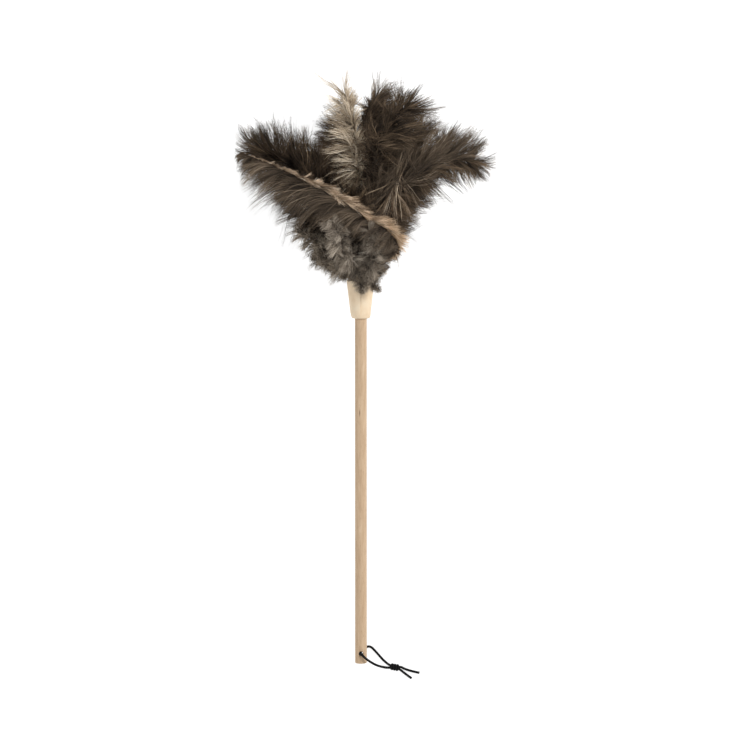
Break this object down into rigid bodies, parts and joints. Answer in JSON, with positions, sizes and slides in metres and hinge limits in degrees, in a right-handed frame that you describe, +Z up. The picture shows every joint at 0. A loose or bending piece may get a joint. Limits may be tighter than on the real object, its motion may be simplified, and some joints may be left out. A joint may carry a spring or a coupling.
{
  "type": "feather duster",
  "caption": "Long-handled feather duster: a round wooden handle with a hanging cord, a leather cuff, and a full head of soft curled plumes in nested tiers.",
  "frame": {"origin": "on the floor that the duster lies on, at the middle of the box round the handle, cuff and feathers, without the cord", "axes": "+Y along the duster from the handle's butt end towards the feathers, level with the floor, +Z up from the floor, +X to the side that the cord lies on"},
  "size_m": [0.396, 0.9138, 0.2222],
  "materials": {
    "handle_wood": "satin",
    "cuff_leather": "satin",
    "binding_wire": "satin",
    "cord_black": "matte",
    "plume_dark": "matte",
    "plume_grey": "matte",
    "plume_pale": "matte"
  },
  "bodies": {
    "duster": {"handle": "handle_wood", "cuff": "cuff_leather", "cuff_wire": "binding_wire", "inner_wire": "binding_wire", "outer_wire": "binding_wire", "core_plume_1": "plume_dark", "core_plume_2": "plume_pale", "core_plume_3": "plume_dark", "core_plume_4": "plume_dark", "inner_plume_1": "plume_dark", "inner_plume_2": "plume_dark", "inner_plume_3": "plume_dark", "inner_plume_4": "plume_dark", "inner_plume_5": "plume_dark", "inner_plume_6": "plume_dark", "middle_plume_1": "plume_dark", "middle_plume_2": "plume_dark", "middle_plume_3": "plume_dark", "middle_plume_4": "plume_dark", "middle_plume_5": "plume_dark", "middle_plume_6": "plume_dark", "middle_plume_7": "plume_dark", "outer_plume_1": "plume_grey", "outer_plume_2": "plume_grey", "outer_plume_3": "plume_grey", "outer_plume_4": "plume_grey", "outer_plume_5": "plume_grey", "outer_plume_6": "plume_grey", "outer_plume_7": "plume_grey", "outer_plume_8": "plume_grey", "lower_plume_1": "plume_grey", "lower_plume_2": "plume_grey", "lower_plume_3": "plume_grey", "lower_plume_4": "plume_grey", "lower_plume_5": "plume_grey", "lower_plume_6": "plume_grey", "lower_plume_7": "plume_grey", "lower_plume_8": "plume_grey", "ruff_feather_1": "plume_grey", "ruff_feather_2": "plume_grey", "ruff_feather_3": "plume_grey", "ruff_feather_4": "plume_grey", "ruff_feather_5": "plume_grey", "ruff_feather_6": "plume_grey", "ruff_feather_7": "plume_grey", "ruff_feather_8": "plume_grey", "ruff_feather_9": "plume_grey", "rim_feather_1": "plume_grey", "rim_feather_2": "plume_grey", "rim_feather_3": "plume_grey", "rim_feather_4": "plume_grey", "rim_feather_5": "plume_grey"},
    "hang_loop": {"hang_cord": "cord_black", "cord_knot": "cord_black", "cord_tail_front": "cord_black", "cord_tail_back": "cord_black"}
  },
  "joints": [
    {"name": "loop_swing", "type": "hinge", "parent": "duster", "child": "hang_loop", "pos_m": [-0.006, -0.42766, 0.01381], "axis": [0, 0, 1], "range_deg": [-75, 60]}
  ]
}
